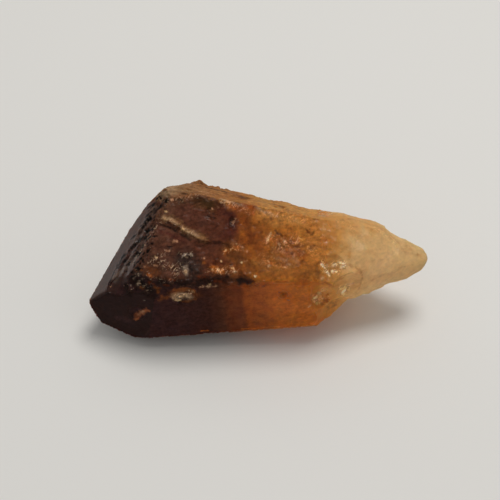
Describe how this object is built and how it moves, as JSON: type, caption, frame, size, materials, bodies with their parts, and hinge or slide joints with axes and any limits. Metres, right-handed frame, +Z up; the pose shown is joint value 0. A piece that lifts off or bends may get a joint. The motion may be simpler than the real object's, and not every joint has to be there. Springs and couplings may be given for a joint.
{
  "type": "citrine crystal point",
  "caption": "A smoky amber quartz crystal point lying on its side, with flat faces, a chipped edge and a worn, tapering root.",
  "frame": {"origin": "Middle of the bounding box in plan, at the level of the surface it lies on.", "axes": "+X runs along the crystal from its pointed tip to its root, +Y goes from the front face to the back face, and +Z is up."},
  "size_m": [0.0694, 0.028, 0.0291],
  "materials": {
    "citrine": "partly clear amber-brown quartz, dark and glossy at the tip, pale and milky at the root"
  },
  "bodies": {
    "root": {"citrine_point": "citrine"}
  },
  "joints": []
}
